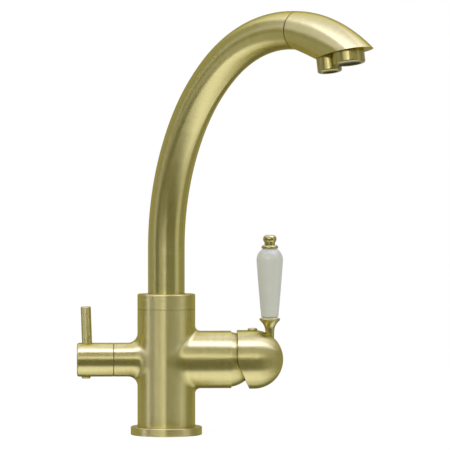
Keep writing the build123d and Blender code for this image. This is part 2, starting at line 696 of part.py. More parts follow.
def lever_finial():
    """Turned finial: collar, short neck and flattened knob."""
    collar = FINIAL_COLLAR_DIAMETER / 2
    collar_top = FINIAL_START + FINIAL_COLLAR_HEIGHT
    neck_top = collar_top + FINIAL_NECK_HEIGHT
    finial = turned(
        [(0, FINIAL_START), (collar, FINIAL_START), (collar, collar_top), (0, collar_top)],
        rounds=[(1, EDGE), (2, FINIAL_COLLAR_HEIGHT - 2 * EDGE)],
    )
    knob = FINIAL_KNOB_DIAMETER / 2
    top = neck_top + FINIAL_KNOB_HEIGHT
    finial += disc(FINIAL_NECK_DIAMETER, collar_top, neck_top + FINIAL_KNOB_HEIGHT / 2)
    finial += turned(
        [(0, neck_top), (knob, neck_top), (knob, top), (0, top)],
        rounds=[(1, FINIAL_KNOB_ROUND), (2, FINIAL_KNOB_ROUND)],
    )
    tapped = disc(STUD_ROD_DIAMETER, FINIAL_START, FINIAL_START + STUD_ROD_ENGAGEMENT)
    return on_cap(finial - tapped, LEVER_STATION)


# Filter valve and handle


def filter_valve_body():
    """Quarter-turn headwork: disc chamber, side windows, hexagon and stem."""
    outer = VALVE_THREAD_DIAMETER / 2 - SEAT
    body = disc(2 * outer, VALVE_START, FILTER_ARM_REACH)
    body += Pos(0, 0, FILTER_ARM_REACH) * extrude(
        RegularPolygon(VALVE_HEX_SIZE / 2, 6, major_radius=False), VALVE_HEX_THICKNESS
    )
    body += disc(VALVE_STEM_DIAMETER, FILTER_ARM_REACH, VALVE_STEM_END)
    body -= disc(VALVE_CHAMBER_DIAMETER, VALVE_START, VALVE_CHAMBER_END)
    body -= disc(SPINDLE_DIAMETER + 2 * FIT, VALVE_CHAMBER_END, VALVE_STEM_END)
    groove_end = VALVE_MOVING_START + VALVE_GROOVE_WIDTH
    body -= ring(2 * outer, 2 * (outer - VALVE_GROOVE_DEPTH), VALVE_MOVING_START, groove_end)
    window = Cylinder(VALVE_WINDOW_DIAMETER / 2, VALVE_THREAD_DIAMETER)
    for turn in (0, 90):
        middle = VALVE_MOVING_START + VALVE_GROOVE_WIDTH / 2
        body -= Pos(0, 0, middle) * Rot(0, 0, turn) * Rot(0, 90, 0) * window
    return FILTER * body


def filter_seat_seal():
    outer = VALVE_THREAD_DIAMETER - 2 * SEAT
    inner = VALVE_DISC_DIAMETER - 2 * VALVE_DISC_RIM
    return FILTER * ring(outer, inner, FILTER_BORE_FLOOR, VALVE_START)


def disc_quadrants(start, end):
    """Two opposite quarter openings of a ceramic valve disc."""
    quarter = extrude(make_face(quadrant_outline()), end - start)
    return [Pos(0, 0, start) * Rot(0, 0, turn) * quarter for turn in (0, 180)]


def quadrant_outline():
    """Quarter sector between the disc's rim and its middle."""
    outer = VALVE_DISC_DIAMETER / 2 - VALVE_DISC_RIM
    inner = VALVE_DISC_WEB / 2
    side = sin(radians(VALVE_OPENING_ANGLE / 2))
    ahead = cos(radians(VALVE_OPENING_ANGLE / 2))
    return (
        ThreePointArc((outer * ahead, -outer * side), (outer, 0), (outer * ahead, outer * side))
        + Line((outer * ahead, outer * side), (inner * ahead, inner * side))
        + Line((inner * ahead, inner * side), (inner * ahead, -inner * side))
        + Line((inner * ahead, -inner * side), (outer * ahead, -outer * side))
    )


def filter_fixed_disc():
    body = disc(VALVE_DISC_DIAMETER, VALVE_START, VALVE_MOVING_START)
    for opening in disc_quadrants(VALVE_START, VALVE_MOVING_START):
        body -= opening
    return FILTER * body


def filter_moving_disc():
    """Ceramic disc shown shut: its openings stand a quarter turn from the fixed disc's."""
    body = disc(VALVE_DISC_DIAMETER, VALVE_MOVING_START, VALVE_DRIVER_START)
    for opening in disc_quadrants(VALVE_MOVING_START, VALVE_DRIVER_START):
        body -= Rot(0, 0, 90) * opening
    return FILTER * body


def spindle_groove_places():
    """Stations of the spindle's two O-ring grooves."""
    return [FILTER_ARM_REACH - 3 * O_RING_SECTION, FILTER_ARM_REACH + O_RING_SECTION]


def filter_spindle():
    """Spindle with its driver plate and two O-ring grooves."""
    body = disc(SPINDLE_DIAMETER, VALVE_DRIVER_START, FILTER_SPINDLE_END)
    driver_end = VALVE_DRIVER_START + SPINDLE_DRIVER_THICKNESS
    body += disc(SPINDLE_DRIVER_DIAMETER, VALVE_DRIVER_START, driver_end)
    for station in spindle_groove_places():
        body -= o_ring_groove(SPINDLE_DIAMETER, station)
    return FILTER * body


def filter_o_ring(station):
    return FILTER * o_ring(SPINDLE_DIAMETER, station)


def filter_knob():
    """Round knob over the headwork, bored for the spindle, the pin and the screw."""
    radius = FILTER_ARM_DIAMETER / 2
    start = FILTER_ARM_REACH + GAP
    body = turned(
        [
            (KNOB_CAVITY_DIAMETER / 2, start),
            (radius, start),
            (radius, KNOB_END),
            (0, KNOB_END),
            (0, KNOB_CAVITY_END),
            (KNOB_CAVITY_DIAMETER / 2, KNOB_CAVITY_END),
        ],
        rounds=[(1, EDGE), (2, KNOB_ROUND)],
    )
    body -= disc(SPINDLE_DIAMETER + 2 * FIT, KNOB_CAVITY_END, FILTER_SPINDLE_END + SEAT)
    screw_hole = disc(KNOB_SCREW_DIAMETER, 0, radius)
    screw_hole += disc(BUTTON_DIAMETER, radius - BUTTON_SEAT_DEPTH, radius + BUTTON_RISE)
    body -= Pos(0, 0, BUTTON_STATION) * Rot(0, -90, 0) * screw_hole
    seat = radius - PIN_SEAT_DEPTH
    pin_hole = disc(PIN_DIAMETER + 2 * SEAT, seat, radius + PIN_SEAT_DEPTH)
    pin_hole += disc(PIN_THREAD_DIAMETER, seat - PIN_THREAD_LENGTH - SEAT, seat)
    return FILTER * (body - pin_place() * pin_hole)


def pin_place():
    """The lever pin's frame on the knob: it leans slightly outwards."""
    return Pos(0, 0, PIN_STATION) * Rot(0, 90 - PIN_LEAN, 0)


def filter_lever_pin():
    """Round pin with a bevelled top, screwed into the knob."""
    radius = PIN_DIAMETER / 2
    thread = PIN_THREAD_DIAMETER / 2 - SEAT
    seat = FILTER_ARM_DIAMETER / 2 - PIN_SEAT_DEPTH
    top = FILTER_ARM_DIAMETER / 2 + PIN_HEIGHT
    pin = turned(
        [
            (0, seat - PIN_THREAD_LENGTH),
            (thread, seat - PIN_THREAD_LENGTH),
            (thread, seat),
            (radius, seat),
            (radius, top),
            (0, top),
        ],
        rounds=[(4, 2 * EDGE)],
    )
    return FILTER * (pin_place() * pin)


def filter_knob_screw():
    start = SPINDLE_DIAMETER / 2 + FIT
    screw = disc(KNOB_SCREW_DIAMETER - 2 * SEAT, start, start + KNOB_SCREW_LENGTH)
    return FILTER * Pos(0, 0, BUTTON_STATION) * Rot(0, -90, 0) * screw


def filter_knob_button():
    seat = FILTER_ARM_DIAMETER / 2 - BUTTON_SEAT_DEPTH
    top = FILTER_ARM_DIAMETER / 2 + BUTTON_RISE
    radius = BUTTON_DIAMETER / 2 - SEAT
    button = turned([(0, seat), (radius, seat), (radius, top), (0, top)], rounds=[(2, BUTTON_RISE)])
    return FILTER * Pos(0, 0, BUTTON_STATION) * Rot(0, -90, 0) * button


# Spout, modelled in the XZ plane and swivelled to its resting angle at the end


def swivelled(piece):
    return Rot(0, 0, -SPOUT_ANGLE) * piece


def bend_arcs():
    """The three tangent arcs of the swan neck, with the last one's end and heading."""
    upper_turn = 90 + JOINT_DIP_ANGLE - LOWER_BEND_TURN - MIDDLE_BEND_TURN
    bends = (
        (LOWER_BEND_RADIUS, LOWER_BEND_TURN),
        (MIDDLE_BEND_RADIUS, MIDDLE_BEND_TURN),
        (UPPER_BEND_RADIUS, upper_turn),
    )
    arcs = []
    point, heading = Vector(0, BEND_START), Vector(0, 1)
    for radius, turn in bends:
        arc = JernArc(start=point, tangent=heading, radius=radius, arc_size=-turn)
        arcs.append(arc)
        point, heading = arc @ 1, arc % 1
    return arcs, point, heading


def centreline(start, end_run):
    """Path of the spout's axis from a height in the column to a run past the last arc."""
    arcs, point, heading = bend_arcs()
    path = Line((0, start), (0, BEND_START))
    for arc in arcs:
        path += arc
    return Plane.XZ * (path + Line(point, point + heading * end_run))


def on_joint(piece):
    """Puts a piece of the nozzle, modelled in the joint's frame, on the swivelled spout."""
    _, point, heading = bend_arcs()
    joint = point + heading * TUBE_END_RUN
    frame = Plane(
        origin=(joint.X, 0, joint.Y),
        x_dir=(heading.X, 0, heading.Y),
        z_dir=(-heading.Y, 0, heading.X),
    )
    return swivelled(frame * piece)


def swept_tube(diameter, wall, start, end_run):
    section = Circle(diameter / 2) - Circle(diameter / 2 - wall)
    return sweep(Pos(0, 0, start) * section, path=centreline(start, end_run))


def spout_tube():
    return swivelled(swept_tube(TUBE_DIAMETER, TUBE_WALL, TUBE_START, TUBE_END_RUN))


def spout_spigot():
    """Turned end of the spout: it turns in the column and is held down by its flange."""
    tube_bore = TUBE_DIAMETER / 2 - TUBE_WALL - SEAT
    outer = SPIGOT_DIAMETER / 2 - FIT
    top = TUBE_START + TUBE_DIAMETER / 2
    body = turned(
        [
            (SPIGOT_BORE / 2, SPIGOT_BOTTOM),
            (outer, SPIGOT_BOTTOM),
            (outer, SPIGOT_FLANGE_START),
            (SPIGOT_FLANGE_DIAMETER / 2, SPIGOT_FLANGE_START),
            (SPIGOT_FLANGE_DIAMETER / 2, TUBE_START),
            (tube_bore, TUBE_START),
            (tube_bore, top),
            (SPIGOT_BORE / 2, top),
        ],
        rounds=[(1, EDGE)],
    )
    for height in spigot_groove_places():
        body -= o_ring_groove(SPIGOT_DIAMETER, height)
    return body


def spigot_groove_places():
    return [SPIGOT_BOTTOM + SPIGOT_LENGTH / 4, SPIGOT_BOTTOM + SPIGOT_LENGTH / 2]


def filtered_tube():
    """Inner tube that keeps the filtered water apart, from the column to the nozzle."""
    start = SPOUT_BORE_FLOOR - FERRULE_BORE_DEPTH / 2
    end_run = TUBE_END_RUN + filtered_tube_end()
    return swivelled(swept_tube(FILTERED_TUBE_DIAMETER, FILTERED_TUBE_WALL, start, end_run))


def filtered_tube_end():
    """How far the inner tube reaches into the nozzle, past the joint."""
    return JOINT_RING_LENGTH / 2 + FILTERED_TUBE_DIAMETER / 2


def tube_ferrule():
    """Sleeve on the inner tube's foot, with its O-ring groove."""
    start = SPOUT_BORE_FLOOR - FERRULE_BORE_DEPTH / 2
    bore = FILTERED_TUBE_DIAMETER + 2 * FIT
    body = ring(FERRULE_DIAMETER, bore, start, start + FERRULE_LENGTH)
    return body - o_ring_groove(FERRULE_DIAMETER, ferrule_groove())


def ferrule_groove():
    return SPOUT_BORE_FLOOR - FERRULE_BORE_DEPTH / 4


def tube_o_ring():
    return o_ring(FERRULE_DIAMETER, ferrule_groove())


def outlet_point(distance):
    """Point on the outlet's line, measured along it from straight below the joint."""
    tilt = radians(OUTLET_TILT)
    return distance * cos(tilt), distance * sin(tilt) - OUTLET_DROP


def crest_height(x):
    """Height of the nozzle's crest: an arc from the tube's top down to the outlet's tip."""
    joint_top = TUBE_DIAMETER / 2
    tip_x, tip_z = outlet_point(OUTLET_HEEL + OUTLET_LENGTH)
    fall = joint_top - tip_z
    radius = (tip_x**2 + fall**2) / (2 * fall)
    return joint_top - radius + sqrt(radius**2 - x**2)


def chin_height(x):
    """Height of the nozzle's underside: the tube's at the joint, then the chin's slope."""
    if x == 0:
        return -TUBE_DIAMETER / 2
    heel_x, heel_z = outlet_point(OUTLET_HEEL)
    return heel_z + (heel_x - x) * tan(radians(CHIN_SLOPE))


def nozzle_section(step):
    """One oval section of the nozzle, square to the tube, between crest and chin."""
    share = step / (NOZZLE_SECTIONS - 1)
    x = share * (outlet_point(OUTLET_HEEL + OUTLET_LENGTH)[0] + NOZZLE_OVERRUN)
    top, bottom = crest_height(x), chin_height(x)
    half_width = TUBE_DIAMETER / 2 * (1 - share) + OUTLET_WIDTH / 2 * share
    plane = Plane(origin=(x, 0, (top + bottom) / 2), x_dir=(0, 0, 1), z_dir=(1, 0, 0))
    if step == 0:
        return plane * Circle(half_width)
    return plane * Ellipse((top - bottom) / 2, half_width)


def outlet_place(distance):
    """Frame on the outlet's plane, Z pointing out of it, at a distance along its line."""
    tilt = radians(OUTLET_TILT)
    x, z = outlet_point(distance)
    return Plane(
        origin=(x, 0, z), x_dir=(cos(tilt), 0, sin(tilt)), z_dir=(sin(tilt), 0, -cos(tilt))
    )


def bore_roof(distance):
    """Middle of the roof of an aerator's bore, in the joint's frame."""
    return tuple(outlet_place(distance).from_local_coords((0, 0, -AERATOR_THREAD_LENGTH)))


def aerator_thread(diameter):
    return diameter - 2 * AERATOR_SHOULDER


def spout_nozzle():
    """Lofted nozzle with its socket, channels and the two aerator bores."""
    body = loft([nozzle_section(step) for step in range(NOZZLE_SECTIONS)])
    body = split(body, bisect_by=outlet_place(0), keep=Keep.BOTTOM)
    middle = (0, 0, 0)
    socket_depth = JOINT_RING_LENGTH / 2 + SEAT
    body -= drilled(middle, (socket_depth, 0, 0), TUBE_DIAMETER - 2 * TUBE_WALL)
    tube_end = filtered_tube_end()
    body -= drilled(middle, (tube_end + SEAT, 0, 0), FILTERED_TUBE_DIAMETER + 2 * SEAT)
    for distance, diameter, rise in aerators():
        bore = disc(aerator_thread(diameter), -AERATOR_THREAD_LENGTH - SEAT, rise)
        body -= outlet_place(distance) * bore
    mains_start = (socket_depth, 0, MAINS_CHANNEL_RISE)
    body -= drilled(mains_start, bore_roof(MAINS_AERATOR_AT), MAINS_CHANNEL_DIAMETER)
    filtered_start = (tube_end, 0, 0)
    body -= drilled(filtered_start, bore_roof(FILTERED_AERATOR_AT), FILTERED_CHANNEL_DIAMETER)
    return on_joint(body)


def joint_ring():
    """Ring brazed inside the joint between tube and nozzle."""
    outer = TUBE_DIAMETER - 2 * TUBE_WALL - 2 * SEAT
    half = JOINT_RING_LENGTH / 2
    return on_joint(Rot(0, 90, 0) * ring(outer, outer - 2 * JOINT_RING_WALL, -half, half))


def aerators():
    """Place, diameter and rise of the mains and the filtered aerator."""
    return [
        (MAINS_AERATOR_AT, MAINS_AERATOR_DIAMETER, MAINS_AERATOR_RISE),
        (FILTERED_AERATOR_AT, FILTERED_AERATOR_DIAMETER, FILTERED_AERATOR_RISE),
    ]


def aerator_bore(diameter):
    return aerator_thread(diameter) - 2 * AERATOR_WALL


def aerator_housing(distance, diameter, rise):
    """Screwed ring that holds the aerator, with a lip at its mouth."""
    thread = aerator_thread(diameter) / 2 - SEAT
    outer = diameter / 2
    bore = aerator_bore(diameter) / 2
    lip = bore - AERATOR_LIP
    body = turned(
        [
            (bore, -AERATOR_THREAD_LENGTH),
            (thread, -AERATOR_THREAD_LENGTH),
            (thread, 0),
            (outer, 0),
            (outer, rise),
            (lip, rise),
            (lip, rise - AERATOR_RECESS),
            (bore, rise - AERATOR_RECESS),
        ],
        rounds=[(3, EDGE / 2), (4, 3 * EDGE)],
    )
    return on_joint(outlet_place(distance) * body)


def hole_places(reach):
    """Hexagonal pattern of hole centres within a radius."""
    rows = int(reach / AERATOR_HOLE_PITCH) + 1
    row_step = AERATOR_HOLE_PITCH * sqrt(3) / 2
    places = []
    for row in range(-rows, rows + 1):
        for column in range(-rows, rows + 1):
            x = AERATOR_HOLE_PITCH * (column + (row % 2) / 2)
            y = row * row_step
            if x * x + y * y <= reach * reach:
                places.append((x, y))
    return places


def aerator_insert(distance, diameter, rise):
    """Plastic cup with a grid of round holes over the mouth."""
    radius = aerator_bore(diameter) / 2 - SEAT
    mouth = rise - AERATOR_RECESS
    top = AERATOR_WASHER_THICKNESS - AERATOR_THREAD_LENGTH
    body = ring(2 * radius, 2 * (radius - AERATOR_WALL), top, mouth)
    grid = disc(2 * radius, mouth - AERATOR_GRID_THICKNESS, mouth)
    reach = radius - AERATOR_WALL - AERATOR_HOLE_DIAMETER / 2
    hole = disc(AERATOR_HOLE_DIAMETER, mouth - AERATOR_GRID_THICKNESS, mouth)
    grid -= [Pos(x, y) * hole for x, y in hole_places(reach)]
    return on_joint(outlet_place(distance) * (body + grid))


def aerator_washer(distance, diameter, _):
    bore = aerator_bore(diameter)
    start = -AERATOR_THREAD_LENGTH
    body = ring(bore - 2 * SEAT, bore - 4 * AERATOR_WALL, start, start + AERATOR_WASHER_THICKNESS)
    return on_joint(outlet_place(distance) * body)


NODES = {
    "body_casting": body_casting,
    "base_flange": base_flange,
    "base_seal": base_seal,
    "spout_collar": spout_collar,
    "slip_ring_lower": slip_ring_lower,
    "slip_ring_upper": slip_ring_upper,
    "cartridge_base": cartridge_base,
    "cartridge_housing": cartridge_housing,
    "fixed_disc": fixed_disc,
    "moving_disc": moving_disc,
    "disc_carrier": disc_carrier,
    "cartridge_nut": cartridge_nut,
    "cartridge_cover": cartridge_cover,
    "lever_guide": lever_guide,
    "pivot_pin": pivot_pin,
    "lever_spindle": lever_spindle,
    "mixer_cap": mixer_cap,
    "cap_set_screw": cap_set_screw,
    "cap_plug": cap_plug,
    "lever_neck": lever_neck,
    "lever_stud": lever_stud,
    "porcelain_grip": porcelain_grip,
    "lever_finial": lever_finial,
    "filter_valve_body": filter_valve_body,
    "filter_seat_seal": filter_seat_seal,
    "filter_fixed_disc": filter_fixed_disc,
    "filter_moving_disc": filter_moving_disc,
    "filter_spindle": filter_spindle,
    "filter_knob": filter_knob,
    "filter_lever_pin": filter_lever_pin,
    "filter_knob_screw": filter_knob_screw,
    "filter_knob_button": filter_knob_button,
    "spout_spigot": spout_spigot,
    "spout_tube": spout_tube,
    "joint_ring": joint_ring,
    "spout_nozzle": spout_nozzle,
    "filtered_tube": filtered_tube,
    "tube_ferrule": tube_ferrule,
    "tube_o_ring": tube_o_ring,
}
AERATOR_PIECES = {"housing": aerator_housing, "insert": aerator_insert, "washer": aerator_washer}


def repeated_nodes():
    """Pieces that come in sets, each with its own node."""
    nodes = {}
    for name, place in zip(("hot", "cold", "mixed"), port_places()):
        nodes[f"port_seal_{name}"] = port_seal(*place)
    for name, start in zip(("lower", "upper"), grip_washer_places()):
        nodes[f"grip_washer_{name}"] = grip_washer(start)
    for name, station in zip(("inner", "outer"), spindle_groove_places()):
        nodes[f"filter_o_ring_{name}"] = filter_o_ring(station)
    for name, height in zip(("lower", "upper"), spigot_groove_places()):
        nodes[f"spout_o_ring_{name}"] = o_ring(SPIGOT_DIAMETER, height)
    for kind, sizes in zip(("mains", "filtered"), aerators()):
        for name, build in AERATOR_PIECES.items():
            nodes[f"{kind}_aerator_{name}"] = build(*sizes)
    return nodes


def main():
    os.makedirs("parts", exist_ok=True)
    nodes = {name: build() for name, build in NODES.items()}
    for name, solid in (nodes | repeated_nodes()).items():
        export_step(solid, f"parts/{name}.step")


main()
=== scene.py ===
"""Three way filtered water tap: brushed brass, a swan neck with two aerators, a porcelain grip.

Metres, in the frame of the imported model: +Z up, the mixing lever on the +X arm, the filter handle
on the -X arm, and the user at -Y. The sections follow the tap as it is put together.
"""

import json
import math

import bpy
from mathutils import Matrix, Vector


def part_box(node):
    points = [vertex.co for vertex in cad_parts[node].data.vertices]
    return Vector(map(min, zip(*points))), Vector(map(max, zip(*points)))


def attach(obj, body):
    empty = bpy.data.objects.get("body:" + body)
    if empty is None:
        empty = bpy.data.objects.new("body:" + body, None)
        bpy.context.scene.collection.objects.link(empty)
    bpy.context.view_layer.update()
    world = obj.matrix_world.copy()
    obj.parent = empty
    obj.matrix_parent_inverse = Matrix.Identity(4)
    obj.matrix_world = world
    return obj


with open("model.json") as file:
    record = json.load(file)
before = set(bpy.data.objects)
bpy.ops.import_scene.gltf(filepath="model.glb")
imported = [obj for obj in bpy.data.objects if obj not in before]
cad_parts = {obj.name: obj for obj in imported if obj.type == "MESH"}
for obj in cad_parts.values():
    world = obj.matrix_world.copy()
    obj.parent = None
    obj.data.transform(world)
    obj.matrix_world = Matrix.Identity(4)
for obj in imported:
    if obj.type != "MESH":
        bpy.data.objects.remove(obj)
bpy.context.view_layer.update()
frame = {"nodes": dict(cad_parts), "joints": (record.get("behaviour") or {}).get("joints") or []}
nodes = frame["nodes"]
joints = {joint["name"]: joint for joint in frame["joints"]}
bpy.ops.object.select_all(action="DESELECT")


# ---------------------------------------------------------------------------------------------
# Body: one hollow brass casting of the column, the mixer arm and the thinner filter arm, machined
# outside. It is brushed round each cylinder and then coated, so highlights run along the axes.
# ---------------------------------------------------------------------------------------------


class Number:
    """A number worked out in a material: Python's operators add its Math nodes."""

    def __init__(self, finish, socket):
        self.finish = finish
        self.socket = socket

    def _math(self, operation, *values):
        return self.finish.node("ShaderNodeMath", {"operation": operation}, dict(enumerate(values)))

    def __add__(self, other):
        return self._math("ADD", self, other)

    def __radd__(self, other):
        return self._math("ADD", other, self)

    def __sub__(self, other):
        return self._math("SUBTRACT", self, other)

    def __rsub__(self, other):
        return self._math("SUBTRACT", other, self)

    def __mul__(self, other):
        return self._math("MULTIPLY", self, other)

    def __rmul__(self, other):
        return self._math("MULTIPLY", other, self)

    def __truediv__(self, other):
        return self._math("DIVIDE", self, other)

    def __gt__(self, other):
        return self._math("GREATER_THAN", self, other)

    def __abs__(self):
        return self._math("ABSOLUTE", self)

    def root(self):
        return self._math("SQRT", self)

    def atan2(self, other):
        return self._math("ARCTAN2", self, other)

    def asin(self):
        return self._math("ARCSINE", self)

    def rise(self, low, high):
        """0 below low, 1 above high, smooth between."""
        return self.finish.node(
            "ShaderNodeMapRange",
            {"interpolation_type": "SMOOTHSTEP"},
            {"Value": self, "From Min": low, "From Max": high},
        )

    def band(self, low, high, soft):
        """1 between low and high, 0 outside, with soft edges."""
        return self.rise(low - soft, low + soft) * (1 - self.rise(high - soft, high + soft))


class Finish:
    """The node tree of one material, or of the world."""

    def __init__(self, owner):
        owner.use_nodes = True
        self.owner = owner
        self.tree = owner.node_tree
        self.tree.nodes.clear()

    def node(self, kind, settings=None, inputs=None, output=0):
        """One node: its settings are set first, then the values or links of its inputs."""
        made = self.tree.nodes.new(kind)
        for name, value in (settings or {}).items():
            setattr(made, name, value)
        for name, value in (inputs or {}).items():
            if isinstance(value, Number):
                self.tree.links.new(value.socket, made.inputs[name])
            else:
                made.inputs[name].default_value = value
        return Number(self, made.outputs[output]) if made.outputs else None

    def split(self, vector):
        """The three numbers of a vector."""
        apart = self.node("ShaderNodeSeparateXYZ", None, {"Vector": vector})
        return [Number(self, socket) for socket in apart.socket.node.outputs]

    def join(self, x, y, z):
        return self.node("ShaderNodeCombineXYZ", None, {"X": x, "Y": y, "Z": z})

    def place(self):
        """The point being shaded, in metres, in the tap's frame."""
        return self.node("ShaderNodeTexCoord", None, None, "Object")

    def ray(self, kind):
        """1 for rays of this kind, 0 for others."""
        return self.node("ShaderNodeLightPath", None, None, f"Is {kind} Ray")

    def noise(self, vector, scale, detail, roughness=0.5):
        """Smooth noise of about 0 to 1, with scale cells to a unit of the vector."""
        return self.node(
            "ShaderNodeTexNoise",
            {"noise_dimensions": "3D"},
            {"Vector": vector, "Scale": scale, "Detail": detail, "Roughness": roughness},
        )

    def vector_blend(self, share, low, high):
        """A vector between two, by a share from 0 to 1."""
        return self.node(
            "ShaderNodeMix", {"data_type": "VECTOR"}, {"Factor": share, 4: low, 5: high}, output=1
        )

    def blend(self, share, low, high):
        """A colour between two, by a share from 0 to 1."""
        return self.node(
            "ShaderNodeMix", {"data_type": "RGBA"}, {"Factor": share, 6: low, 7: high}, output=2
        )

    def vector(self, operation, *values, output=0):
        """Vector Math, whose numbers come out of its second socket."""
        return self.node(
            "ShaderNodeVectorMath", {"operation": operation}, dict(enumerate(values)), output=output
        )

    def scaled(self, vector, by):
        return self.node("ShaderNodeVectorMath", {"operation": "SCALE"}, {0: vector, "Scale": by})

    def unit(self, vector):
        return self.vector("NORMALIZE", vector)

    def upright(self):
        """The surface's own normal, in the tap's frame."""
        return self.node("ShaderNodeTexCoord", None, None, "Normal")

    def combed(self, upright, across):
        """The direction over the brush lines that lies in the surface."""
        lift = self.vector("DOT_PRODUCT", across, upright, output="Value")
        return self.unit(self.vector("SUBTRACT", across, self.scaled(upright, lift)))

    def leaning(self, upright, over, tilt):
        """A normal that leans over by a share of one direction."""
        leant = self.unit(self.vector("ADD", upright, self.scaled(over, tilt)))
        return self.node(
            "ShaderNodeVectorTransform",
            {"vector_type": "NORMAL", "convert_from": "OBJECT", "convert_to": "WORLD"},
            {"Vector": leant},
        )

    def bumped(self, height, distance):
        """A normal tilted by a relief, whose height of 1 stands for distance, in metres."""
        return self.node(
            "ShaderNodeBump", None, {"Height": height, "Distance": distance, "Strength": 1.0}
        )

    def shader(self, **inputs):
        """A Principled shader; names use _ for spaces."""
        named = {name.replace("_", " "): value for name, value in inputs.items()}
        return self.node("ShaderNodeBsdfPrincipled", None, named)

    def ended(self, shader):
        """The material, with this shader as its surface."""
        self.node("ShaderNodeOutputMaterial", None, {"Surface": shader})
        return self.owner

    def surface(self, **inputs):
        """The material, ended in one Principled shader."""
        return self.ended(self.shader(**inputs))


def new_finish(name):
    return Finish(bpy.data.materials.new(name))


def dress(material, *names):
    """Gives CAD nodes a finish in every material slot."""
    for name in names:
        for slot in nodes[name].material_slots:
            slot.material = material


BRASS_LIGHT = (0.68, 0.615, 0.205, 1)
BRASS_DARK = (0.52, 0.465, 0.135, 1)
BRASS_EDGE = (0.80, 0.74, 0.38, 1)
# Painted shade: the near-black the brass is darkened towards in the seam under the collar, inside
# the collar and in the gap at the spout's joint
SEAM_PAINTED_SHADE = (0.10, 0.085, 0.03, 1)
GROOVE_PITCH = 0.00006
GROOVE_SHARPNESS = 0.6  # of the noise that makes the lines
GROOVE_SPREAD = 0.72  # tangent of the angle that a face with a lean of 1 would stand at
GROOVE_GRAIN = 0.3  # tilt that changes from line to line
# Faces of a groove's rounded wall: how far they lean, and their share of it
GROOVE_FACES = (
    (0.0, 0.26),
    (0.25, 0.21),
    (-0.25, 0.21),
    (0.5, 0.12),
    (-0.5, 0.12),
    (0.75, 0.04),
    (-0.75, 0.04),
)
STREAK = 1.0  # length of a brush line, in radians of turn
CLOUD_PITCH, CLOUD_TURN = 0.003, 0.7  # size of the broad clouds in the brushing
CLOUD_LAYER = 3.0  # of the noise, so that the clouds don't follow the lines
END_FACE_LEAN = 10.0  # of the way over the lines, away from the axis, a metre: it rules end faces
END_FACE_PITCH = 1.6  # brush lines over a radius, for one over the same length of the axis
BRUSHED_ROUGHNESS, TONE_ROUGHNESS = 0.2, 0.10  # the least, and what the lightest tone adds
ARM_HEIGHT = joints["mixer_turn"]["pos_m"][2]
COLUMN_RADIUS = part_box("spout_collar")[1].x
MIXER_ARM_RADIUS = 0.0226
FILTER_ARM_RADIUS = 0.0133
MIXER_BLEND = 0.0045  # reach of the ground blend between the column and each arm
FILTER_BLEND = 0.0075
BLEND_LIMIT = 0.0003  # how far under the skin of the column or an arm the ground blend still counts
BLEND_FADE = 0.8  # share of the blend's reach from which it fades
COLLAR_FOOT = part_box("spout_collar")[0].z
# Painted shade under and inside the collar: how far below the collar's foot it starts, how soft its
# edge is, and how dark it is
SEAM_DEPTH, SEAM_EDGE, SEAM_SHADE = 0.00018, 0.00002, 0.85  # of the dark line under the collar
BOSS_TOP = COLLAR_FOOT + 1.0  # above the whole tap, as all inside the collar lies in the dark


def brushed_brass(finish, along, turn, across, seam=None, upright=None, spread=GROOVE_SPREAD):
    """Coated brushed brass: along and the vector across run over the brush lines, in metres, and
    turn follows them, in radians."""
    line_place = finish.join(along / GROOVE_PITCH, turn / STREAK, 0.0)
    cloud_place = finish.join(along / CLOUD_PITCH, turn / CLOUD_TURN, CLOUD_LAYER)
    lines = finish.noise(line_place, scale=1.0, detail=2.0, roughness=GROOVE_SHARPNESS)
    clouds = finish.noise(cloud_place, scale=1.0, detail=2.0)
    tone = lines * 0.5 + clouds * 0.5
    colour = finish.blend(tone, BRASS_DARK, BRASS_LIGHT)
    # Painted shade: the colour is darkened towards near-black where a seam's gap lies in shade
    if seam is not None:
        colour = finish.blend(seam, colour, SEAM_PAINTED_SHADE)
    roughness = BRUSHED_ROUGHNESS + TONE_ROUGHNESS * tone
    upright = upright or finish.upright()
    over = finish.combed(upright, across)
    grain = (lines - 0.5) * GROOVE_GRAIN
    whole, total = None, 0.0
    for lean, share in GROOVE_FACES:
        face = finish.shader(
            Base_Color=colour,
            Specular_Tint=BRASS_EDGE,
            Metallic=1.0,
            Roughness=roughness,
            Normal=finish.leaning(upright, over, grain + lean * spread),
        )
        total += share
        mix = {"Fac": share / total, 1: whole, 2: face}
        whole = face if whole is None else finish.node("ShaderNodeMixShader", None, mix)
    return finish.ended(whole)


def turned_lines(finish, axis, centre):
    """Brush lines of a piece turned about a line along X or Z, as brushed_brass takes them."""
    x, y, z = finish.split(finish.place())
    if axis == "Z":
        first, second, height = x - centre[0], centre[1] - y, z
        across = finish.join(first * END_FACE_LEAN, (0 - second) * END_FACE_LEAN, 1)
    else:
        first, second, height = y - centre[0], z - centre[1], x
        across = finish.join(1, first * END_FACE_LEAN, second * END_FACE_LEAN)
    radius = (first * first + second * second).root()
    return height + END_FACE_PITCH * radius, first.atan2(second), across


def turned_brass(name, axis, centre, spread=GROOVE_SPREAD):
    """Brushed brass of a piece turned about a line along X or Z."""
    finish = new_finish(name)
    return brushed_brass(finish, *turned_lines(finish, axis, centre), spread=spread)


